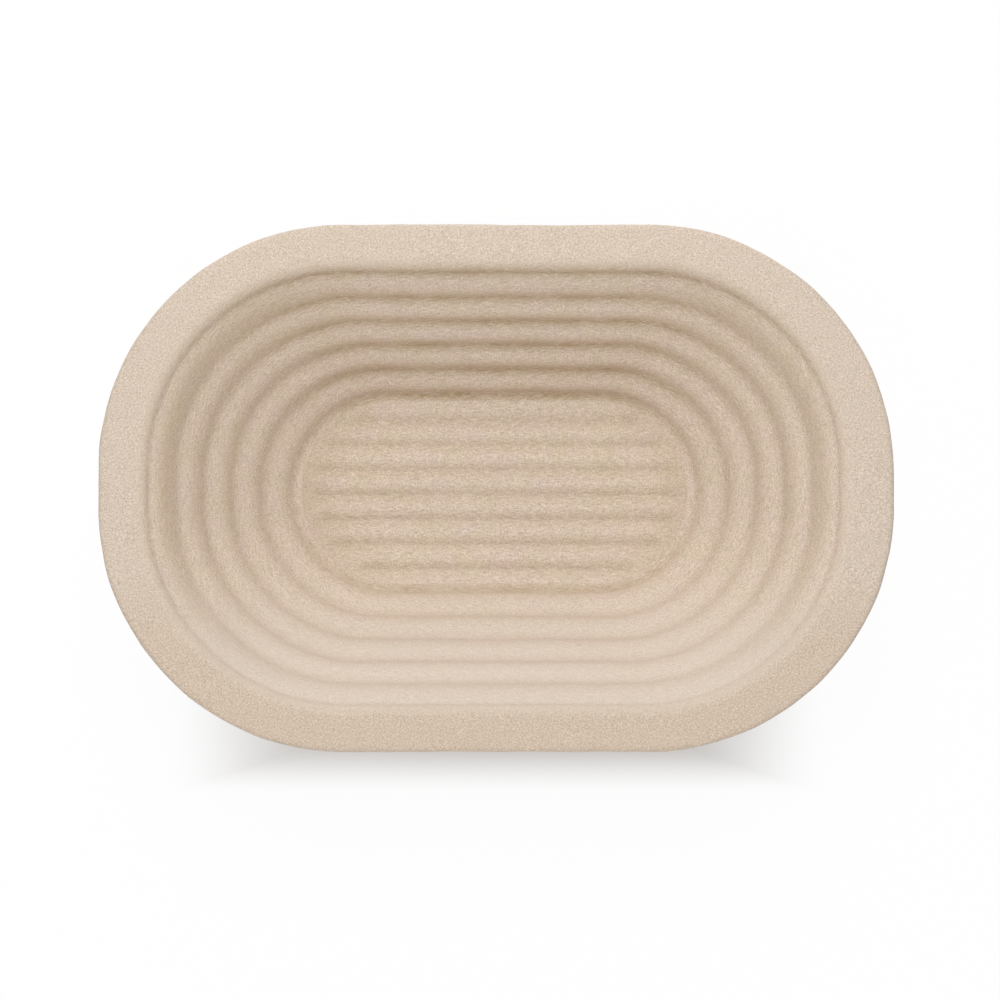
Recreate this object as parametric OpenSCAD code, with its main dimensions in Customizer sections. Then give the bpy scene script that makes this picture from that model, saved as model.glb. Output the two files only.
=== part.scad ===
// Oblong proofing basket for bread dough, moulded in one piece from wood pulp.
// Lengths are in millimetres. The basket stands on z = 0 with its mouth up and its length along X.

/* [Overall size] */
// Length over the rim
basket_length = 300; // [250:1:360]
// Width over the rim
basket_width = 199; // [175:1:240]
// Height from the table to the top of the rim
basket_height = 80; // [65:1:105]

/* [Rim] */
// Width of the rim, from its outer edge to the first groove of the wall
rim_width = 18.3; // [14:0.1:24]
// Thickness of the rim
rim_thickness = 7; // [5.5:0.5:10]
// Rounding of the rim's outer edges
rim_edge_radius = 2.5; // [1:0.1:2.7]
// Rounding of the lip where the rim turns down into the wall
lip_radius = 4.6; // [2:0.1:5]
// Straight stretch across each short end of the rim
rim_end_straight = 14; // [4:0.5:40]

/* [Wall] */
// Mean thickness of the wall, measured square to it
wall_thickness = 6.5; // [5:0.1:10]
// How far each long wall leans in between the rim and the floor
side_lean = 40.3; // [30:0.1:46]
// How far each short wall leans in between the rim and the floor
end_lean = 48.3; // [36:0.1:50]
// How far the walls bow outward from a straight line
wall_bow = 2.4; // [0.5:0.1:4]
// Number of rings down the wall
ring_count = 5; // [3:1:7]
// How far each ring swells into the basket
ring_relief = 1.6; // [0.6:0.1:2]
// Flat at the bottom of each groove between two rings
groove_flat = 0.5; // [0.1:0.1:1]

/* [Floor] */
// Thickness of the floor
floor_thickness = 6.5; // [4.5:0.1:10]
// Straight stretch across each short end of the floor
floor_end_straight = 1; // [0.5:0.5:10]
// Number of straight ridges along the floor
ridge_count = 8; // [5:1:10]
// Depth of the grooves between the ridges
ridge_relief = 1.6; // [0.4:0.1:1.8]
// Width of the flat crown on each ridge
ridge_crown = 1; // [0.5:0.1:3]
// Smooth margin between the grooves' ends and the wall
groove_margin = 7; // [6:0.5:16]
// How far the rounding of the base edge reaches, up the wall and in under the floor
base_edge = 5; // [2:0.5:8]
// How far that rounding swells past a straight bevel
base_edge_swell = 0.9; // [0.3:0.1:0.9]

/* [Hidden] */
$fn = 128;

pulp_colour = [0.82, 0.745, 0.66];
// Cutting shapes reach this far past the face that they open
overcut = 1;

// Foot of the lip, where the first ring starts
mouth_z = basket_height - lip_radius;
mouth_half_length = basket_length / 2 - rim_width;
mouth_half_width = basket_width / 2 - rim_width;

// Wall line at a long side: an arc from the foot of the lip to the floor
wall_drop = mouth_z - floor_thickness;
wall_chord = norm([side_lean, wall_drop]);
wall_angle = atan(side_lean / wall_drop);
bow_radius = arc_radius(wall_chord, wall_bow);
bow_half_angle = asin(wall_chord / 2 / bow_radius);

// Outside of the wall: one plan centre for its whole height, halfway between the mouth's and the floor's
outer_centre = tidy((corner_centre(0) + corner_centre(ring_count)) / 2);
outer_lean = (side_lean + end_lean) / 2;
outer_radius = tidy(mouth_half_width - outer_centre.y + wall_thickness / cos(wall_angle)
    + (end_lean - side_lean) / 4);
outer_step = [-outer_lean, -wall_drop];
outer_arc_radius = arc_radius(norm(outer_step), wall_bow);
outer_arc_centre = [outer_radius, mouth_z] + outer_step / 2
    + (outer_arc_radius - wall_bow) * [outer_step.y, -outer_step.x] / norm(outer_step);

// Rounding of the base edge: an arc between two points that lie base_edge away from the corner
base_edge_foot = [outer_x(0) - base_edge, 0];
base_edge_top = [outer_x(base_edge), base_edge];
base_edge_step = base_edge_top - base_edge_foot;
base_edge_radius = arc_radius(norm(base_edge_step), base_edge_swell);
base_edge_centre = (base_edge_foot + base_edge_top) / 2
    + (base_edge_radius - base_edge_swell) * [-base_edge_step.y, base_edge_step.x] / norm(base_edge_step);

// Floor grooves
floor_half_width = groove_half_width(ring_count);
ridge_pitch = 2 * floor_half_width / ridge_count;
groove_half = tidy((ridge_pitch - ridge_crown) / 2);

// A length to the nearest hundredth, so that shapes built side by side meet exactly
function tidy(v) = is_list(v) ? [for (x = v) tidy(x)] : round(v * 100) / 100;

// Radius of the arc that rises by rise over a chord
function arc_radius(chord, rise) = (pow(chord / 2, 2) + pow(rise, 2)) / (2 * rise);

// Groove above ring k: how far it lies in from the mouth, and its height
function bow_turn(k) = bow_half_angle * (2 * k / ring_count - 1);
function along_chord(k) = wall_chord / 2 + bow_radius * sin(bow_turn(k));
function off_chord(k) = bow_radius * cos(bow_turn(k)) - (bow_radius - wall_bow);
function groove_inset(k) = along_chord(k) * sin(wall_angle) - off_chord(k) * cos(wall_angle);
function groove_z(k) = tidy(mouth_z - along_chord(k) * cos(wall_angle) - off_chord(k) * sin(wall_angle));

// Plan of that groove: a rounded rectangle, by its half width, its corner radius and a corner's centre
function lean_share(k) = groove_inset(k) / side_lean;
function groove_half_width(k) = tidy(mouth_half_width - groove_inset(k));
function end_half_straight(k) =
    tidy(rim_end_straight + (floor_end_straight - rim_end_straight) * lean_share(k)) / 2;
function corner_radius(k) = groove_half_width(k) - end_half_straight(k);
function corner_centre(k) = [
    tidy(mouth_half_length - end_lean * lean_share(k)) - corner_radius(k),
    end_half_straight(k)
];

// Distance of the outside from its plan centre at height z
function outer_x(z) = outer_arc_centre.x
    + sqrt(pow(outer_arc_radius, 2) - pow(z - outer_arc_centre.y, 2));

// Sweeps a section around a rounded rectangle; the section's X is the distance from the corner's centre
module around(centre) {
    for (turn = [0, 180]) rotate(turn) {
        translate(centre) rotate_extrude(angle = 90) children();
        translate([-centre.x, centre.y]) rotate(90) rotate_extrude(angle = 90) children();
        translate(centre) rotate([90, 0, 0]) linear_extrude(2 * centre.y) children();
        translate([-centre.x, centre.y]) rotate([90, 0, 90]) linear_extrude(2 * centre.x) children();
    }
}

// As around(), with the middle filled from z = low to z = high; the section starts at X = 0
module filled(centre, low, high) {
    around(centre) children();
    translate([-centre.x, -centre.y, low]) cube([2 * centre.x, 2 * centre.y, high - low]);
}

// Section of the rim: flat top and underside, round outer edges and a round lip
module rim_section() {
    inner = corner_radius(0);
    outer = inner + rim_width;
    low = basket_height - rim_thickness;
    translate([inner + lip_radius, low])
        square([rim_width - lip_radius - rim_edge_radius, rim_thickness]);
    translate([inner + lip_radius, low + rim_edge_radius])
        square([rim_width - lip_radius, rim_thickness - 2 * rim_edge_radius]);
    for (z = [low + rim_edge_radius, basket_height - rim_edge_radius])
        translate([outer - rim_edge_radius, z]) circle(rim_edge_radius);
    translate([inner, low]) square([lip_radius, rim_thickness - lip_radius]);
    intersection() {
        translate([inner + lip_radius, mouth_z]) circle(lip_radius);
        translate([inner, mouth_z]) square(lip_radius);
    }
}

// Section of the outside, from the base up into the rim
module outer_section() {
    difference() {
        intersection() {
            translate(outer_arc_centre) circle(outer_arc_radius);
            square([outer_radius + overcut, mouth_z - groove_flat]);
        }
        difference() {
            translate(base_edge_foot - [overcut, overcut])
                square([base_edge_step.x + 2 * overcut, base_edge + 2 * overcut]);
            translate(base_edge_centre) circle(base_edge_radius);
        }
    }
}

// Section of the hollow beside ring k, with the ring's convex face left standing
module ring_hollow_section(k) {
    top = [corner_radius(k), groove_z(k)];
    foot = [top.x + groove_half_width(k + 1) - groove_half_width(k) + groove_flat, groove_z(k + 1)];
    step = foot - top;
    face_radius = arc_radius(norm(step), ring_relief);
    face_centre = (top + foot) / 2 + (face_radius - ring_relief) * [-step.y, step.x] / norm(step);
    difference() {
        polygon([[0, top.y], top + [overcut, 0], foot + [overcut, 0], [0, foot.y]]);
        translate(face_centre) circle(face_radius);
    }
}

// Groove between two ridges: a V along X that runs out in a cone at each end
module floor_groove(y) {
    reach = corner_radius(ring_count) - groove_margin;
    run = tidy(corner_centre(ring_count).x + sqrt(max(0, pow(reach, 2) - pow(y, 2))) - groove_half);
    low = floor_thickness - ridge_relief;
    high = floor_thickness + overcut;
    right = [[groove_half, floor_thickness], [groove_half, high]];
    left = [[-groove_half, high], [-groove_half, floor_thickness]];
    translate([0, y]) {
        translate([-run, 0]) rotate([90, 0, 90]) linear_extrude(2 * run)
            polygon(concat([[0, low]], right, left));
        for (turn = [0, 180]) rotate(turn) translate([run, 0]) rotate(-90)
            rotate_extrude(angle = 180) polygon(concat([[0, low]], right, [[0, high]]));
    }
}

// Rim, wall and floor of the basket in one moulding
module basket_shell() {
    color(pulp_colour) {
        around(corner_centre(0)) rim_section();
        difference() {
            filled(outer_centre, 0, mouth_z - groove_flat) outer_section();
            for (k = [0 : ring_count - 1])
                filled(corner_centre(k), groove_z(k + 1), groove_z(k)) ring_hollow_section(k);
            for (i = [1 : ridge_count - 1]) floor_groove(tidy(i * ridge_pitch - floor_half_width));
        }
    }
}

basket_shell();
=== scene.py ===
"""Oblong proofing basket of moulded wood pulp: its finished mesh, its pulp material and the studio."""

import math
from collections import namedtuple

import bmesh
import bpy
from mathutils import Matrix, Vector


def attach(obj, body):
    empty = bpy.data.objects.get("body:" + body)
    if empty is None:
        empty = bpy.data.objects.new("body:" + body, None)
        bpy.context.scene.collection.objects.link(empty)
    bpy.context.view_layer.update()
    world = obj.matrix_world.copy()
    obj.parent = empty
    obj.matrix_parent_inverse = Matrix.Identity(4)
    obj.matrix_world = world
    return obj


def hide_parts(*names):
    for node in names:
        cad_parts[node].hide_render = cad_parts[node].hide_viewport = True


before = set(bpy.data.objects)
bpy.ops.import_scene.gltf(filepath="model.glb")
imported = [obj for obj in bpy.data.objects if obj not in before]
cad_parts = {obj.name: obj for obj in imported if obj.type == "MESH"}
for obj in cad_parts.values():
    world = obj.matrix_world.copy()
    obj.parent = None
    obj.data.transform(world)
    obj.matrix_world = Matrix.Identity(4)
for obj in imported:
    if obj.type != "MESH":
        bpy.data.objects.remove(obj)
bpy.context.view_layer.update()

MM = 0.001

# Overall size
BASKET_LENGTH = 300 * MM
BASKET_WIDTH = 199 * MM
BASKET_HEIGHT = 80 * MM

# Rim, along the sides and across the ends; the hollow lies a little to the left of its middle
RIM_WIDTH = 18.7 * MM
RIM_END_WIDTH = 20.3 * MM
RIM_THICKNESS = 7 * MM
RIM_EDGE_RADIUS = 2.1 * MM
LIP_RADIUS = 4.6 * MM
RIM_END_STRAIGHT = 14 * MM
HOLLOW_SHIFT = -0.8 * MM
UNDER_RIM_FILLET = 2.2 * MM

# Wall with its rings and the rounded grooves between them
WALL_THICKNESS = 6.5 * MM
SIDE_LEAN = 40.3 * MM
END_LEAN = 47 * MM
WALL_BOW = 2.4 * MM
RING_COUNT = 5
RING_RELIEF = 1.8 * MM
GROOVE_ROUND = 3 * MM
GROOVE_DIP = 0.65 * MM
WALL_FOOT_DIP = 0.9 * MM
LIP_GROOVE_ROUND = 1.5 * MM
LIP_SET_BACK = 1 * MM
LIP_DIP = 0.3 * MM
LIP_FOOT = math.radians(20)

# Floor and base
FLOOR_THICKNESS = 6.5 * MM
FLOOR_GROOVES = 7
RIDGE_PITCH = 10.3 * MM
RIDGE_SHIFT = -1.3 * MM
RIDGE_RELIEF = 1.6 * MM
GROOVE_MARGIN = 4 * MM
GROOVE_RUN_OUT = 7.5 * MM
BASE_EDGE = 5 * MM
BASE_EDGE_SWELL = 0.9 * MM

# Softening of the rings around the ends
SOFTEN_SHARE = 0.5
SOFTEN_STEPS = 14

# Unevenness of the dried skin: size and depth of its waves and lumps
WAVE_SIZE = 45 * MM
WAVE_DEPTH = 0.5 * MM
HAND_LUMP_SIZE = 16 * MM
HAND_LUMP_DEPTH = 0.5 * MM
SOFT_LUMP_SIZE = 7 * MM
SOFT_LUMP_DEPTH = 0.18 * MM

# How finely the section and the corners are drawn
FLOOR_STEPS = 48
RING_STEPS = 8
GROOVE_STEPS = 6
LIP_STEPS = 5
RIM_TOP_STEPS = 7
RIM_EDGE_STEPS = 4
RIM_SIDE_STEPS = 1
UNDERSIDE_STEPS = 3
FILLET_STEPS = 3
OUTSIDE_STEPS = 24
BASE_EDGE_STEPS = 4
BASE_STEPS = 14
CORNER_STEPS = 60
SIDE_STRAIGHT_STEPS = 18
END_STRAIGHT_STEPS = 3
CLOSE = 0.005 * MM

# Shade painted in the grooves: how far it reaches, how it falls off and how strong it is
SHADE_ABOVE = 9 * MM
SHADE_BELOW = 7 * MM
FLOOR_EDGE_SHADE = 3.5 * MM
WALL_SHADE_FALL = 2
FLOOR_SHADE_FALL = 0.6
CORNER_SHADE_FALL = 3
FRONT_SHADE = 0.05
BACK_SHADE = 0.74
WALL_FOOT_SHADE = 0.5
FLOOR_SHADE = 0.27

# Smooth shade painted on the ends of the wall, stronger at the left end and towards the lip, and on the
# floor's margin beside them
LEFT_END_SHADE = 0.54
RIGHT_END_SHADE = 0.41
END_SHADE_FALL = 2
MARGIN_SHADE = 0.38
MARGIN_REACH = 18 * MM

# Colours of the pulp, the painted light and shade of its front, and the colour of the painted shade
YELLOW_PULP = (0.765, 0.66, 0.525, 1)
PINK_PULP = (0.785, 0.655, 0.57, 1)
FRONT_LIT_PULP = (0.755, 0.655, 0.565, 1)
RIM_PULP = (0.7, 0.588, 0.488, 1)
FRONT_SHADED_RIM_PULP = (0.675, 0.555, 0.445, 1)
DARK_FLECKS = (0.78, 0.76, 0.73, 1)
SHADE_COLOUR = (0.44, 0.33, 0.2, 1)

# Where, across the basket, the painted light and shade of the front start, and where they are full
# The front of the hollow is painted paler with fainter fibres, as in full light; the front of the rim
# darker, as in shade
FRONT_START = -30 * MM
FRONT_FULL = -60 * MM

# Patterns of the pulp, by their scales per metre; each layer of fibres has a turn, and a scale along
# the fibres and one across them
WANDER_SCALE = 160
WANDER = 4 * MM
FIBRE_LAYERS = ((0.2, 260, 1500), (-0.25, 340, 1800))
FIBRE_ROUGHNESS = 0.7
FIBRE_SHARE = 0.5
FIBRE_CONTRAST = 1.6
FRONT_FIBRE_CONTRAST = 0.75
FUZZ_SCALE = 1800
FUZZ_ROUGHNESS = 0.5
GRAIN_SCALE = 1750
GRAIN_ROUGHNESS = 0.6
GRAIN_DISTORTION = 0.4
GRAIN_DARK = 0.27
GRAIN_LIGHT = 0.73
MOTTLE_SCALE = 110
PATCH_SCALE = 70
PATCH_WEAK = 0.75
PATCH_STRONG = 1.25
STREAK_STRONG = 1.8
STREAK_WEAK = 0.2

# A noise lies about its middle and mostly between its low and its high
NOISE_MIDDLE = 0.5
NOISE_LOW = 0.3
NOISE_HIGH = 0.7

# How the pattern turns to dark flecks and light skin
PATTERN_LOW = 0.25
PATTERN_HIGH = 0.75
FLECK_LOW = -0.6
FLECK_HIGH = 1.6

# Surface of the pulp
BUMP_STRENGTH = 0.6
BUMP_DEPTH = 0.25 * MM
PULP_ROUGHNESS = 0.92
PULP_SPECULAR = 0.25

# Studio floor, and the area of it that keeps the basket's shadow: its middle, where it fades and ends
SWEEP_SIZE = 6
SWEEP_MATTE = (0.9, 0.9, 0.9, 1)
SWEEP_WHITE = 0.95
SHADOW_MIDDLE_Y = -13.5 * MM
SHADOW_FADE_Y = 90 * MM
SHADOW_END_Y = 113 * MM
SHADOW_FADE_X = 70 * MM
SHADOW_END_X = 140 * MM

# Studio light
WHITE = (1, 1, 1, 1)
ROOM_LIGHT = 0.43
SOFT_BOX_SIZE = 0.6

# Camera: distance from the rim, width of the picture at the rim, and the point it looks at
CAMERA_DISTANCE = 700 * MM
CAMERA_ELEVATION = math.radians(88.9)
VIEW_WIDTH = 376.2 * MM
SENSOR_WIDTH = 36
AIM_X = 1.55 * MM
AIM_Y = -4.74 * MM

MOUTH_Z = BASKET_HEIGHT - LIP_RADIUS
MOUTH_HALF_LENGTH = BASKET_LENGTH / 2 - RIM_END_WIDTH
MOUTH_HALF_WIDTH = BASKET_WIDTH / 2 - RIM_WIDTH

# One stroke of the section: where it ends, measured from the corner's centre, how far it swells from
# a straight line, in how many steps it is drawn, and where the corner's centre lies in plan at its end
Stroke = namedtuple("Stroke", "zone end swell steps centre")


def arc_radius(chord, rise):
    """Radius of the arc that rises by rise over a chord."""
    return ((chord / 2) ** 2 + rise**2) / (2 * rise)


def quarter_swell(radius):
    """How far a quarter circle swells from the straight line between its ends."""
    return radius * (1 - math.cos(math.pi / 4))


# Wall line at a long side: an arc from the foot of the lip to the floor
WALL_DROP = MOUTH_Z - FLOOR_THICKNESS
WALL_CHORD = math.hypot(SIDE_LEAN, WALL_DROP)
WALL_ANGLE = math.atan2(SIDE_LEAN, WALL_DROP)
BOW_RADIUS = arc_radius(WALL_CHORD, WALL_BOW)
BOW_HALF_ANGLE = math.asin(WALL_CHORD / 2 / BOW_RADIUS)


def groove(k):
    """Groove above ring k: corner's centre in plan, corner radius and height."""
    turn = BOW_HALF_ANGLE * (2 * k / RING_COUNT - 1)
    along = WALL_CHORD / 2 + BOW_RADIUS * math.sin(turn)
    off = BOW_RADIUS * math.cos(turn) - (BOW_RADIUS - WALL_BOW)
    inset = along * math.sin(WALL_ANGLE) - off * math.cos(WALL_ANGLE)
    height = MOUTH_Z - along * math.cos(WALL_ANGLE) - off * math.sin(WALL_ANGLE)
    share = inset / SIDE_LEAN
    end_half_straight = RIM_END_STRAIGHT / 2 * (1 - share)
    radius = MOUTH_HALF_WIDTH - inset - end_half_straight
    centre = Vector((MOUTH_HALF_LENGTH - END_LEAN * share - radius, end_half_straight))
    return centre, radius + (LIP_SET_BACK if k == 0 else 0), height


MOUTH_CENTRE, MOUTH_RADIUS, _ = groove(0)
RIM_CENTRE = MOUTH_CENTRE + Vector((RIM_END_WIDTH - RIM_WIDTH, 0))
FLOOR_CENTRE, FLOOR_RADIUS, _ = groove(RING_COUNT)

# Outside of the wall: an arc with one corner centre for its whole height
OUTSIDE_CENTRE = (MOUTH_CENTRE + FLOOR_CENTRE) / 2
OUTSIDE_TOP = Vector((
    MOUTH_HALF_WIDTH - OUTSIDE_CENTRE.y + WALL_THICKNESS / math.cos(WALL_ANGLE)
    + (END_LEAN - SIDE_LEAN) / 4,
    MOUTH_Z,
))
OUTSIDE_STEP = Vector((-(SIDE_LEAN + END_LEAN) / 2, -WALL_DROP))
OUTSIDE_ARC_RADIUS = arc_radius(OUTSIDE_STEP.length, WALL_BOW)
OUTSIDE_ARC_CENTRE = OUTSIDE_TOP + OUTSIDE_STEP / 2 + (
    Vector((OUTSIDE_STEP.y, -OUTSIDE_STEP.x)).normalized() * (OUTSIDE_ARC_RADIUS - WALL_BOW)
)


def outside_radius(height):
    """Distance of the outside from its corner's centre at a height."""
    rise = height - OUTSIDE_ARC_CENTRE.y
    return OUTSIDE_ARC_CENTRE.x + math.sqrt(OUTSIDE_ARC_RADIUS**2 - rise**2)


def ring_strokes(k):
    """Rounded groove at the foot of ring k, and the ring's convex face up to the next groove."""
    low_centre, low_radius, low_height = groove(k + 1)
    top_centre, top_radius, top_height = groove(k)
    foot = Vector((low_radius, low_height))
    top = Vector((top_radius, top_height))
    along = (top - foot).normalized()
    off = Vector((-along.y, along.x))
    length = (top - foot).length
    foot_dip = WALL_FOOT_DIP if k == RING_COUNT - 1 else GROOVE_DIP
    top_round = LIP_GROOVE_ROUND if k == 0 else GROOVE_ROUND
    top_dip = LIP_DIP if k == 0 else GROOVE_DIP
    start = foot + along * GROOVE_ROUND + off * GROOVE_DIP
    end = top - along * top_round + off * top_dip
    start_centre = low_centre.lerp(top_centre, GROOVE_ROUND / length)
    end_centre = top_centre.lerp(low_centre, top_round / length)
    return [
        Stroke("groove", tuple(start), -foot_dip, GROOVE_STEPS, start_centre),
        Stroke("ring", tuple(end), RING_RELIEF - GROOVE_DIP, RING_STEPS, end_centre),
    ]


def lip_and_rim_strokes():
    """Groove under the lip, the round lip, the rim's flat top and its rounded outer edges."""
    lip_foot = (
        MOUTH_RADIUS + LIP_RADIUS * (1 - math.cos(LIP_FOOT)),
        MOUTH_Z + LIP_RADIUS * math.sin(LIP_FOOT),
    )
    lip_top = (MOUTH_RADIUS + LIP_RADIUS, BASKET_HEIGHT)
    lip_swell = LIP_RADIUS * (1 - math.cos((math.pi / 2 - LIP_FOOT) / 2))
    outer = BASKET_WIDTH / 2 - RIM_CENTRE.y
    low = BASKET_HEIGHT - RIM_THICKNESS
    edge_top = (outer - RIM_EDGE_RADIUS, BASKET_HEIGHT)
    side_top = (outer, BASKET_HEIGHT - RIM_EDGE_RADIUS)
    side_foot = (outer, low + RIM_EDGE_RADIUS)
    edge_foot = (outer - RIM_EDGE_RADIUS, low)
    edge_swell = quarter_swell(RIM_EDGE_RADIUS)
    return [
        Stroke("groove", lip_foot, -LIP_DIP, GROOVE_STEPS, MOUTH_CENTRE),
        Stroke("lip", lip_top, lip_swell, LIP_STEPS, MOUTH_CENTRE),
        Stroke("rim", edge_top, 0, RIM_TOP_STEPS, RIM_CENTRE),
        Stroke("rim", side_top, edge_swell, RIM_EDGE_STEPS, RIM_CENTRE),
        Stroke("rim", side_foot, 0, RIM_SIDE_STEPS, RIM_CENTRE),
        Stroke("rim", edge_foot, edge_swell, RIM_EDGE_STEPS, RIM_CENTRE),
    ]


def outside_strokes():
    """Underside of the rim, the outside of the wall, the rounded base edge and the flat base."""
    low = BASKET_HEIGHT - RIM_THICKNESS
    fillet_foot = low - UNDER_RIM_FILLET
    start = Vector((outside_radius(fillet_foot), fillet_foot))
    end = Vector((outside_radius(BASE_EDGE), BASE_EDGE))
    chord = (end - start).length
    swell = OUTSIDE_ARC_RADIUS - math.sqrt(OUTSIDE_ARC_RADIUS**2 - (chord / 2) ** 2)
    fillet_top = (start.x + UNDER_RIM_FILLET, low)
    fillet_swell = -quarter_swell(UNDER_RIM_FILLET) / 2
    base_foot = (outside_radius(0) - BASE_EDGE, 0)
    base_centre = Vector((OUTSIDE_CENTRE.x, 0))
    return [
        Stroke("outside", fillet_top, 0, UNDERSIDE_STEPS, OUTSIDE_CENTRE),
        Stroke("outside", tuple(start), fillet_swell, FILLET_STEPS, OUTSIDE_CENTRE),
        Stroke("outside", tuple(end), swell, OUTSIDE_STEPS, OUTSIDE_CENTRE),
        Stroke("outside", base_foot, BASE_EDGE_SWELL, BASE_EDGE_STEPS, OUTSIDE_CENTRE),
        Stroke("outside", (0, 0), 0, BASE_STEPS, base_centre),
    ]


def section_strokes():
    """Section of the basket: out along the floor, up the wall, over the rim and back under the base."""
    floor_edge = (FLOOR_RADIUS - GROOVE_ROUND, FLOOR_THICKNESS)
    strokes = [Stroke("floor", floor_edge, 0, FLOOR_STEPS, FLOOR_CENTRE)]
    for k in reversed(range(RING_COUNT)):
        strokes += ring_strokes(k)
    return strokes + lip_and_rim_strokes() + outside_strokes()


def draw_line(start, end, steps):
    """Extrudes the section's end vertex along a straight line."""
    step = (end - start) / steps
    for _ in range(steps):
        bpy.ops.mesh.extrude_region_move(TRANSFORM_OT_translate={"value": (step.x, 0, step.y)})


def draw_arc(start, end, swell, steps):
    """Spins the section's end vertex along an arc that swells out of the skin, or into it if negative."""
    chord = end - start
    radius = arc_radius(chord.length, abs(swell))
    side = math.copysign(1, swell)
    left = Vector((-chord.y, chord.x)).normalized() * side
    middle = (start + end) / 2 + left * (abs(swell) - radius)
    angle = -2 * side * math.asin(chord.length / 2 / radius)
    bpy.ops.mesh.spin(steps=steps, angle=angle, center=(middle.x, 0, middle.y), axis=(0, 1, 0))


def draw_section(strokes):
    """Draws the section as a chain of edges in the plane y = 0, from a plate merged to one vertex."""
    bpy.ops.object.select_all(action="DESELECT")
    bpy.ops.mesh.primitive_plane_add(size=FLOOR_THICKNESS, location=(0, 0, FLOOR_THICKNESS))
    basket = bpy.context.object
    bpy.ops.object.transform_apply(location=True)
    bpy.ops.object.mode_set(mode="EDIT")
    bpy.ops.mesh.merge(type="CENTER")
    pen = Vector((0, FLOOR_THICKNESS))
    for stroke in strokes:
        end = Vector(stroke.end)
        if stroke.swell:
            draw_arc(pen, end, stroke.swell, stroke.steps)
        else:
            draw_line(pen, end, stroke.steps)
        pen = end
    return basket


def number_stations(basket):
    """Numbers the section's vertices along the chain; spin and extrude hand the number on."""
    bm = bmesh.from_edit_mesh(basket.data)
    station = bm.verts.layers.int.new("station")
    vert = max((v for v in bm.verts if len(v.link_edges) == 1), key=lambda v: v.co.z)
    edge = vert.link_edges[0]
    number = 0
    while edge:
        vert = edge.other_vert(vert)
        number += 1
        vert[station] = number
        edge = next((e for e in vert.link_edges if e is not edge), None)
    bmesh.update_edit_mesh(basket.data)


def select_verts(basket, wanted):
    """Selects the vertices that wanted(vertex, station) picks, with the edges and faces between them."""
    bm = bmesh.from_edit_mesh(basket.data)
    station = bm.verts.layers.int["station"]
    for vert in bm.verts:
        vert.select = wanted(vert, vert[station])
    bm.select_flush_mode()
    bmesh.update_edit_mesh(basket.data)


def select_open_column(basket, wanted):
    """Selects the open edges of the quarter whose two ends wanted(vertex, station) picks."""
    bm = bmesh.from_edit_mesh(basket.data)
    station = bm.verts.layers.int["station"]
    bpy.ops.mesh.select_all(action="DESELECT")
    for edge in bm.edges:
        if edge.is_boundary and all(wanted(v, v[station]) for v in edge.verts):
            edge.select = True
    bmesh.update_edit_mesh(basket.data)


def draw_straight(scale_of_step, steps):
    """Extrudes the selected column to the basket's middle plane in equal steps."""
    for step in range(steps, 0, -1):
        bpy.ops.mesh.extrude_region()
        bpy.ops.transform.resize(value=scale_of_step((step - 1) / step), center_override=(0, 0, 0))


def station_centres(strokes):
    """Corner centre in plan for every station, sliding evenly along each stroke."""
    centres = [strokes[0].centre]
    for stroke in strokes:
        start = centres[-1]
        centres += [start.lerp(stroke.centre, (i + 1) / stroke.steps) for i in range(stroke.steps)]
    return centres


def station_zones(strokes):
    """Zone of every station; the section's first vertex belongs to the first stroke."""
    zones = [strokes[0].zone]
    for stroke in strokes:
        zones += [stroke.zone] * stroke.steps
    return zones


def station_distances(strokes):
    """How far along the section every station lies, with each arc measured straight."""
    distances = [0]
    pen = Vector((0, FLOOR_THICKNESS))
    for stroke in strokes:
        end = Vector(stroke.end)
        step = (end - pen).length / stroke.steps
        distances += [distances[-1] + step * (i + 1) for i in range(stroke.steps)]
        pen = end
    return distances


def model_basket(strokes):
    """Models a quarter of the basket from its section and mirrors it twice."""
    basket = draw_section(strokes)
    basket.name = "moulded_basket"
    basket.data.name = "moulded_basket"
    number_stations(basket)
    centres = station_centres(strokes)

    # The section is spun about one axis, and each station then slides out to its own corner centre
    bpy.ops.mesh.select_mode(type="VERT")
    bpy.ops.mesh.select_all(action="SELECT")
    bpy.ops.mesh.spin(steps=CORNER_STEPS, angle=-math.pi / 2, center=(0, 0, 0), axis=(0, 0, 1))
    bpy.ops.mesh.select_all(action="SELECT")
    bpy.ops.mesh.remove_doubles(threshold=CLOSE)
    for number, centre in enumerate(centres):
        select_verts(basket, lambda vert, station: station == number)
        bpy.ops.transform.translate(value=(centre.x, centre.y, 0))

    # Straight stretches across the end and along the side
    bpy.ops.mesh.select_mode(type="EDGE")
    select_open_column(basket, lambda vert, station: abs(vert.co.y - centres[station].y) < CLOSE)
    draw_straight(lambda share: (1, share, 1), END_STRAIGHT_STEPS)
    select_open_column(
        basket, lambda vert, station: abs(vert.co.x - centres[station].x) < CLOSE and vert.co.y > -CLOSE
    )
    draw_straight(lambda share: (share, 1, 1), SIDE_STRAIGHT_STEPS)

    bpy.ops.object.mode_set(mode="OBJECT")
    mirror = basket.modifiers.new("mirror", "MIRROR")
    mirror.use_axis = (True, True, False)
    mirror.merge_threshold = CLOSE
    bpy.ops.object.modifier_apply(modifier=mirror.name)
    bpy.ops.object.mode_set(mode="EDIT")
    bpy.ops.mesh.select_all(action="SELECT")
    bpy.ops.mesh.remove_doubles(threshold=CLOSE)
    bpy.ops.mesh.normals_make_consistent(inside=False)

    # The hollow, up to the lip, moves off the rim's middle
    bpy.ops.mesh.select_mode(type="VERT")
    mouth_end = station_zones(strokes).index("rim")
    select_verts(basket, lambda vert, station: station < mouth_end)
    bpy.ops.transform.translate(value=(HOLLOW_SHIFT, 0, 0))
    bpy.ops.object.mode_set(mode="OBJECT")
    return basket


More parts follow.
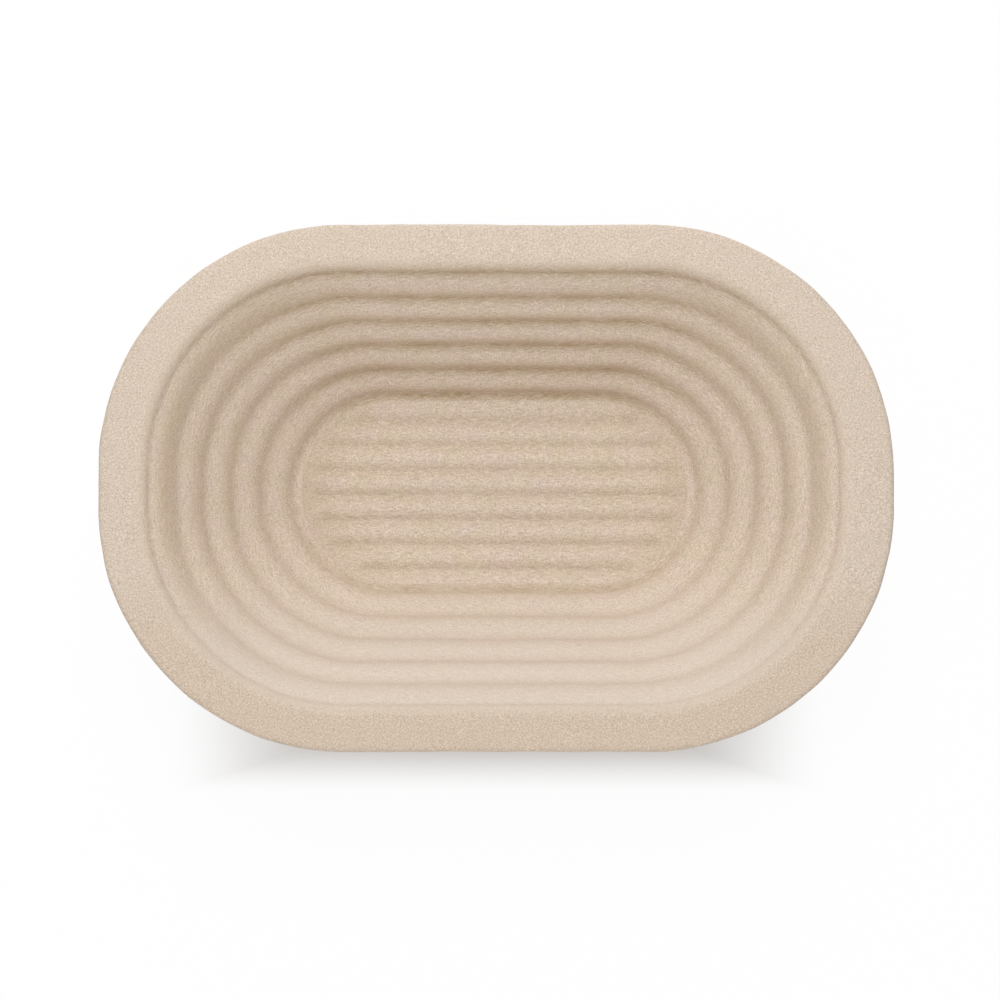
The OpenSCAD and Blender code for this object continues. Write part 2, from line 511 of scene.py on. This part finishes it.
def groove_share(x, y):
    """How deep the floor's grooves are at a point: 0 on a ridge or the margin, 1 along a groove."""
    outermost = FLOOR_GROOVES // 2
    number = min(max(round((y - RIDGE_SHIFT) / RIDGE_PITCH), -outermost), outermost)
    line = number * RIDGE_PITCH + RIDGE_SHIFT
    reach = FLOOR_CENTRE.x + math.sqrt((FLOOR_RADIUS - GROOVE_MARGIN) ** 2 - line**2)
    left_to_go = min(max((reach - abs(x)) / GROOVE_RUN_OUT, 0), 1)
    run_out = left_to_go * left_to_go * (3 - 2 * left_to_go)
    across = max(0, 1 - 2 * abs(y - line) / RIDGE_PITCH)
    return run_out * across * across


def facing(x, y, centre):
    """How far a point of a ring faces an end of the basket, and how far its back, as shares of 1."""
    out_x = max(abs(x) - centre.x, 0)
    out_y = math.copysign(max(abs(y) - centre.y, 0), y)
    reach = math.hypot(out_x, out_y) or 1
    return out_x / reach, out_y / reach


def stations(basket):
    """Station number of every vertex."""
    return [item.value for item in basket.data.attributes["station"].data]


def press_grooves(basket, strokes):
    """Presses the straight grooves into the floor, by a painted weight."""
    zones = station_zones(strokes)
    numbers = stations(basket)
    weight = basket.vertex_groups.new(name="floor_grooves")
    for vert, number in zip(basket.data.vertices, numbers):
        if zones[number] == "floor":
            weight.add([vert.index], groove_share(vert.co.x, vert.co.y), "REPLACE")
    press = basket.modifiers.new("press", "DISPLACE")
    press.vertex_group = weight.name
    press.direction = "Z"
    press.mid_level = 0
    press.strength = -RIDGE_RELIEF
    bpy.ops.object.modifier_apply(modifier=press.name)
    basket.vertex_groups.clear()


def soften_ends(basket, strokes):
    """Softens the rings around the basket's ends, where they are shallower than along its sides."""
    zones = station_zones(strokes)
    centres = station_centres(strokes)
    numbers = stations(basket)
    weight = basket.vertex_groups.new(name="ends")
    for vert, number in zip(basket.data.vertices, numbers):
        if zones[number] in ("ring", "groove"):
            end, _ = facing(vert.co.x, vert.co.y, centres[number])
            weight.add([vert.index], end, "REPLACE")
    soften = basket.modifiers.new("soften", "SMOOTH")
    soften.vertex_group = weight.name
    soften.factor = SOFTEN_SHARE
    soften.iterations = SOFTEN_STEPS
    bpy.ops.object.modifier_apply(modifier=soften.name)
    basket.vertex_groups.clear()


def weigh_above_base(basket):
    """Paints a weight that leaves the base flat, so that the basket stands on it."""
    weight = basket.vertex_groups.new(name="above_base")
    for vert in basket.data.vertices:
        weight.add([vert.index], min(max(vert.co.z / BASE_EDGE, 0), 1), "REPLACE")


def make_uneven(basket, name, lump, depth):
    """Gives the skin soft lumps, as pulp dries unevenly."""
    clouds = bpy.data.textures.new(name, "CLOUDS")
    clouds.noise_scale = lump
    clouds.noise_depth = 1
    swell = basket.modifiers.new(name, "DISPLACE")
    swell.vertex_group = "above_base"
    swell.texture = clouds
    swell.texture_coords = "LOCAL"
    swell.mid_level = 0.5
    swell.strength = depth
    bpy.ops.object.modifier_apply(modifier=swell.name)


def ring_distance(x, y, centre):
    """How far a point lies along its ring from the middle of the right end, on either side."""
    beside = min(abs(y), centre.y)
    before = centre.x - min(abs(x), centre.x)
    out_x = max(abs(x) - centre.x, 0)
    out_y = max(abs(y) - centre.y, 0)
    radius = math.hypot(out_x, out_y)
    distance = beside + radius * math.atan2(out_y, out_x) + before
    if x >= 0:
        return distance
    return 2 * (centre.y + radius * math.pi / 2 + centre.x) - distance


def lay_fibre_flow(basket, strokes):
    """Lays a UV map in metres along the fibres: around the wall's rings, lengthwise on the floor."""
    mesh = basket.data
    station = stations(basket)
    zones = station_zones(strokes)
    centres = station_centres(strokes)
    along = station_distances(strokes)
    around = [ring_distance(v.co.x, v.co.y, centres[s]) for v, s in zip(mesh.vertices, station)]
    flow = mesh.uv_layers.new(name="fibre_flow")
    for face in mesh.polygons:
        on_floor = zones[max(station[v] for v in face.vertices)] == "floor"
        side = math.copysign(1, face.center.y)
        for corner in face.loop_indices:
            vert = mesh.loops[corner].vertex_index
            if on_floor:
                flow.data[corner].uv = mesh.vertices[vert].co.xy
            else:
                flow.data[corner].uv = (side * around[vert], along[station[vert]])


def wall_shade(back, depth, at_foot):
    """Shade in the wall's grooves: full along the back, fading around its corners."""
    strength = FRONT_SHADE + (BACK_SHADE - FRONT_SHADE) * max(back, 0) ** CORNER_SHADE_FALL
    if at_foot:
        strength = max(strength, WALL_FOOT_SHADE * abs(back))
    return strength * depth**WALL_SHADE_FALL


def groove_depths(strokes):
    """How near every station lies to the middle of a groove of the wall, as a share of 1."""
    along = station_distances(strokes)
    depths = [0] * len(along)
    last = 0
    for stroke in strokes:
        first = last
        last += stroke.steps
        if stroke.zone == "groove":
            middle = (along[first] + along[last]) / 2
            for number, distance in enumerate(along):
                reach = SHADE_ABOVE if distance > middle else SHADE_BELOW
                depths[number] = max(depths[number], 1 - abs(distance - middle) / reach)
    return depths


def grain_shares(strokes):
    """How grainy every station is: 0 in the hollow, rising over the lip to 1 on the rim and outside."""
    shares = [0]
    for stroke in strokes:
        for i in range(stroke.steps):
            if stroke.zone == "lip":
                shares.append((i + 1) / stroke.steps)
            else:
                shares.append(0 if stroke.zone in ("floor", "groove", "ring") else 1)
    return shares


def paint_masks(basket, strokes):
    """Paints where the skin is grainy, the shade in the grooves, and the soft shade on the ends of the
    wall and the floor's margin.
    """
    mesh = basket.data
    grainy = grain_shares(strokes)
    depths = groove_depths(strokes)
    zones = station_zones(strokes)
    centres = station_centres(strokes)
    numbers = stations(basket)
    floor_edge = zones.index("groove") - 1
    first_ring = zones.index("ring")
    for name in ("grain_mask", "groove_shade", "painted_soft_shade"):
        mesh.attributes.new(name, "FLOAT", "POINT")
    grain_mask = mesh.attributes["grain_mask"].data
    groove_shade = mesh.attributes["groove_shade"].data
    painted_soft_shade = mesh.attributes["painted_soft_shade"].data
    for vert, number in zip(mesh.vertices, numbers):
        x, y, z = vert.co
        end, back = facing(x, y, centres[number])
        depth = depths[number] if zones[number] in ("groove", "ring", "lip") else 0
        # Painted shade on the ends of the wall: stronger at the left end and towards the lip, less in the
        # grooves
        soft_shade = LEFT_END_SHADE if x < 0 else RIGHT_END_SHADE
        soft_shade *= math.sqrt(end) * (1 + min(back, 0)) * (z / MOUTH_Z) ** END_SHADE_FALL * (1 - depth)
        shade = 0
        if zones[number] == "floor":
            to_edge = FLOOR_RADIUS - math.hypot(max(abs(x) - FLOOR_CENTRE.x, 0), y)
            depth = max(0, depths[floor_edge] - to_edge / FLOOR_EDGE_SHADE)
            shade = FLOOR_SHADE * groove_share(x, y) ** FLOOR_SHADE_FALL
            # Painted shade on the floor's margin at its ends
            soft_shade = MARGIN_SHADE * end * max(0, 1 - to_edge / MARGIN_REACH)
        grain_mask[vert.index].value = grainy[number]
        groove_shade[vert.index].value = max(shade, wall_shade(back, depth, number < first_ring))
        painted_soft_shade[vert.index].value = soft_shade * (1 - grainy[number])


def add_node(tree, kind, inputs=None, **settings):
    """Adds a node; its inputs are set to values or linked to sockets."""
    made = tree.nodes.new(kind)
    for name, value in settings.items():
        setattr(made, name, value)
    for name, value in (inputs or {}).items():
        if isinstance(value, bpy.types.NodeSocket):
            tree.links.new(value, made.inputs[name])
        else:
            made.inputs[name].default_value = value
    return made


def calculate(tree, operation, *terms):
    """Result of an operation on values and sockets."""
    return add_node(tree, "ShaderNodeMath", dict(enumerate(terms)), operation=operation).outputs[0]


def calculate_vector(tree, operation, inputs):
    """Result of an operation on vectors."""
    return add_node(tree, "ShaderNodeVectorMath", inputs, operation=operation).outputs[0]


def rescale(tree, value, start, stop, low=0, high=1, **settings):
    """Turns the span from start to stop into the span from low to high."""
    inputs = {"Value": value, "From Min": start, "From Max": stop, "To Min": low, "To Max": high}
    return add_node(tree, "ShaderNodeMapRange", inputs, **settings).outputs[0]


def add_noise(tree, place, scale, detail, **finer):
    """Soft noise at a scale per metre."""
    inputs = {"Vector": place, "Scale": scale, "Detail": detail, **finer}
    return add_node(tree, "ShaderNodeTexNoise", inputs).outputs


def blend(tree, share, first, second):
    """Value between two patterns."""
    return add_node(tree, "ShaderNodeMix", {"Factor": share, "A": first, "B": second}).outputs[0]


def blend_colour(tree, share, first, second, **settings):
    """Colour between two colours."""
    inputs = {"Factor": share, "A": first, "B": second}
    return add_node(tree, "ShaderNodeMix", inputs, data_type="RGBA", **settings).outputs[2]


def painted(tree, name):
    """What is painted on the skin under a name."""
    return add_node(tree, "ShaderNodeAttribute", attribute_name=name).outputs["Fac"]


def fibre_pattern(tree, place):
    """Two layers of fibres that lie along the flow and wander a little from it."""
    wander = add_noise(tree, place, WANDER_SCALE, 1)["Color"]
    middle = (NOISE_MIDDLE, NOISE_MIDDLE, NOISE_MIDDLE)
    wander = calculate_vector(tree, "SUBTRACT", {0: wander, 1: middle})
    wander = calculate_vector(tree, "SCALE", {0: wander, "Scale": WANDER})
    flow = add_node(tree, "ShaderNodeUVMap", uv_map="fibre_flow").outputs["UV"]
    flow = calculate_vector(tree, "ADD", {0: flow, 1: wander})
    layers = []
    for turn, along, across in FIBRE_LAYERS:
        lie = {"Vector": flow, "Rotation": (0, 0, turn), "Scale": (along, across, 1)}
        lie = add_node(tree, "ShaderNodeMapping", lie).outputs[0]
        layers.append(add_noise(tree, lie, 1, 2, Roughness=FIBRE_ROUGHNESS)["Fac"])
    both = calculate(tree, "ADD", *layers)
    return calculate(tree, "MULTIPLY", both, 1 / len(FIBRE_LAYERS))


def pulp_pattern(tree, place, front, fibre, grain_mask):
    """Fibres and fuzz in the hollow, fainter on the front wall as part of its painted light, and grain on
    the rim and outside.
    """
    fuzz = add_noise(tree, place, FUZZ_SCALE, 1, Roughness=FUZZ_ROUGHNESS)["Fac"]
    inside = blend(tree, FIBRE_SHARE, fuzz, fibre)
    contrast = rescale(tree, front, 0, 1, FIBRE_CONTRAST, FRONT_FIBRE_CONTRAST)
    inside = calculate(tree, "SUBTRACT", inside, NOISE_MIDDLE)
    inside = calculate(tree, "MULTIPLY_ADD", inside, contrast, NOISE_MIDDLE)
    grain = add_noise(tree, place, GRAIN_SCALE, 2, Roughness=GRAIN_ROUGHNESS, Distortion=GRAIN_DISTORTION)
    grain = rescale(tree, grain["Fac"], NOISE_LOW, NOISE_HIGH, GRAIN_DARK, GRAIN_LIGHT, clamp=False)
    return blend(tree, grain_mask, inside, grain)


def pulp_colour(tree, place, front, pulp, grain_mask):
    """Mottled colour of the pulp with its dark flecks, the rim's own colour, and painted light and shade
    on the front: the hollow paler there, the rim darker.
    """
    mottle = add_noise(tree, place, MOTTLE_SCALE, 2)["Fac"]
    mottle = rescale(tree, mottle, NOISE_LOW, NOISE_HIGH)
    tint = blend_colour(tree, mottle, YELLOW_PULP, PINK_PULP)
    # Painted light and shade: the front of the hollow paler, the front of the rim darker
    tint = blend_colour(tree, front, tint, FRONT_LIT_PULP)
    rim_tint = blend_colour(tree, front, RIM_PULP, FRONT_SHADED_RIM_PULP)
    tint = blend_colour(tree, grain_mask, tint, rim_tint)
    dark = blend_colour(tree, 1, tint, DARK_FLECKS, blend_type="MULTIPLY")
    light = rescale(tree, pulp, PATTERN_LOW, PATTERN_HIGH, FLECK_LOW, FLECK_HIGH, clamp=False)
    return blend_colour(tree, light, dark, tint, clamp_factor=False)


def groove_pattern(tree, place, fibre):
    """Shade painted in the grooves, patchy and streaked along the fibres."""
    patch = add_noise(tree, place, PATCH_SCALE, 2)["Fac"]
    patch = rescale(tree, patch, NOISE_LOW, NOISE_HIGH, PATCH_WEAK, PATCH_STRONG)
    streak = rescale(tree, fibre, NOISE_LOW, NOISE_HIGH, STREAK_STRONG, STREAK_WEAK)
    shade = calculate(tree, "MULTIPLY", painted(tree, "groove_shade"), patch)
    return calculate(tree, "MULTIPLY", shade, streak)


def wood_pulp():
    """Pressed and dried wood pulp: fine fibres inside, grainy on the rim and outside, with shade painted
    into its grooves, ends and floor margin, and light and shade painted on its front.
    """
    material = bpy.data.materials.new("wood pulp")
    material.use_nodes = True
    tree = material.node_tree
    tree.nodes.clear()
    place = add_node(tree, "ShaderNodeTexCoord").outputs["Object"]
    across = add_node(tree, "ShaderNodeSeparateXYZ", {0: place}).outputs["Y"]
    front = rescale(tree, across, FRONT_START, FRONT_FULL)
    grain_mask = painted(tree, "grain_mask")
    fibre = fibre_pattern(tree, place)
    pulp = pulp_pattern(tree, place, front, fibre, grain_mask)
    colour = pulp_colour(tree, place, front, pulp, grain_mask)
    # Painted shade: first the soft shade on the ends and the floor's margin, then the shade in the
    # grooves
    colour = blend_colour(tree, painted(tree, "painted_soft_shade"), colour, SHADE_COLOUR)
    colour = blend_colour(tree, groove_pattern(tree, place, fibre), colour, SHADE_COLOUR)
    bump = add_node(tree, "ShaderNodeBump",
                    {"Strength": BUMP_STRENGTH, "Distance": BUMP_DEPTH, "Height": pulp})
    surface = add_node(tree, "ShaderNodeBsdfPrincipled",
                       {"Base Color": colour, "Roughness": PULP_ROUGHNESS,
                        "Specular IOR Level": PULP_SPECULAR, "Normal": bump.outputs[0]})
    add_node(tree, "ShaderNodeOutputMaterial", {"Surface": surface.outputs[0]})
    return material


def white_sweep():
    """White paper: it shines white to the camera, except where it shows the basket's shadow."""
    material = bpy.data.materials.new("white sweep")
    material.use_nodes = True
    tree = material.node_tree
    tree.nodes.clear()
    path = add_node(tree, "ShaderNodeLightPath").outputs
    seen = calculate(tree, "MAXIMUM", path["Is Camera Ray"], path["Is Glossy Ray"])
    seen = calculate(tree, "MAXIMUM", seen, path["Is Transmission Ray"])
    place = add_node(tree, "ShaderNodeTexCoord").outputs["Object"]
    place = add_node(tree, "ShaderNodeSeparateXYZ", {0: place}).outputs
    across = calculate(tree, "SUBTRACT", place["Y"], SHADOW_MIDDLE_Y)
    across = calculate(tree, "ABSOLUTE", across)
    across = rescale(tree, across, SHADOW_FADE_Y, SHADOW_END_Y, 0, SWEEP_WHITE,
                     interpolation_type="SMOOTHSTEP")
    along = calculate(tree, "ABSOLUTE", place["X"])
    along = rescale(tree, along, SHADOW_FADE_X, SHADOW_END_X, 0, SWEEP_WHITE,
                    interpolation_type="SMOOTHSTEP")
    share = calculate(tree, "MULTIPLY", seen, calculate(tree, "MAXIMUM", across, along))
    matte = add_node(tree, "ShaderNodeBsdfDiffuse", {"Color": SWEEP_MATTE})
    white = add_node(tree, "ShaderNodeEmission", {"Color": WHITE, "Strength": 1})
    mix = add_node(tree, "ShaderNodeMixShader", {0: share, 1: matte.outputs[0], 2: white.outputs[0]})
    add_node(tree, "ShaderNodeOutputMaterial", {"Surface": mix.outputs[0]})
    return material


def studio_floor():
    """Wide sheet of white paper that the basket stands on."""
    bpy.ops.mesh.primitive_plane_add(size=SWEEP_SIZE, location=(0, 0, 0))
    floor = bpy.context.object
    floor.name = "studio_floor"
    floor.data.materials.append(white_sweep())


def soft_box(name, place, power):
    """Square soft box at a place in metres that faces the basket, with its power in watts."""
    lamp = bpy.data.lights.new(name, "AREA")
    lamp.size = SOFT_BOX_SIZE
    lamp.energy = power
    box = bpy.data.objects.new(name, lamp)
    box.location = place
    box.rotation_euler = (-Vector(place)).to_track_quat("-Z", "Y").to_euler()
    bpy.context.scene.collection.objects.link(box)


def studio_light():
    """Even light from all round, a soft box above the back rim and weaker ones around and above."""
    world = bpy.data.worlds.new("studio")
    bpy.context.scene.world = world
    world.use_nodes = True
    tree = world.node_tree
    tree.nodes.clear()
    room = add_node(tree, "ShaderNodeBackground", {"Color": WHITE, "Strength": ROOM_LIGHT})
    white = add_node(tree, "ShaderNodeBackground", {"Color": WHITE, "Strength": 1})
    path = add_node(tree, "ShaderNodeLightPath")
    mix = add_node(tree, "ShaderNodeMixShader",
                   {0: path.outputs["Is Camera Ray"], 1: room.outputs[0], 2: white.outputs[0]})
    add_node(tree, "ShaderNodeOutputWorld", {"Surface": mix.outputs[0]})
    soft_box("back_soft_box", (0, 0.6, 1.1), 6.7)
    soft_box("low_back_soft_box", (0, 1.0, 0.5), 2.4)
    soft_box("low_front_soft_box", (0, -1.0, 0.5), 3.2)
    soft_box("left_soft_box", (-0.75, 0, 1.0), 1.2)
    soft_box("top_soft_box", (0, 0, 1.3), 1.1)


def photo_camera():
    """Camera almost straight above the mouth, as in the photograph."""
    camera = bpy.data.objects.new("camera", bpy.data.cameras.new("camera"))
    camera.data.sensor_width = SENSOR_WIDTH
    camera.data.lens = SENSOR_WIDTH * CAMERA_DISTANCE / VIEW_WIDTH
    aim = Vector((AIM_X, AIM_Y, BASKET_HEIGHT))
    back = Vector((0, -math.cos(CAMERA_ELEVATION), math.sin(CAMERA_ELEVATION)))
    camera.location = aim + back * CAMERA_DISTANCE
    camera.rotation_euler = (math.pi / 2 - CAMERA_ELEVATION, 0, 0)
    bpy.context.scene.collection.objects.link(camera)
    bpy.context.scene.camera = camera


strokes = section_strokes()
basket = model_basket(strokes)
press_grooves(basket, strokes)
lay_fibre_flow(basket, strokes)
paint_masks(basket, strokes)
soften_ends(basket, strokes)
weigh_above_base(basket)
make_uneven(basket, "slow_waves", WAVE_SIZE, WAVE_DEPTH)
make_uneven(basket, "hand_lumps", HAND_LUMP_SIZE, HAND_LUMP_DEPTH)
make_uneven(basket, "soft_lumps", SOFT_LUMP_SIZE, SOFT_LUMP_DEPTH)
basket.vertex_groups.clear()
bpy.ops.object.shade_smooth()
basket.data.attributes.remove(basket.data.attributes["station"])
basket.data.materials.append(wood_pulp())
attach(basket, "root")
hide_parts("basket_shell")

studio_floor()
studio_light()
photo_camera()
bpy.context.scene.view_settings.view_transform = "Standard"
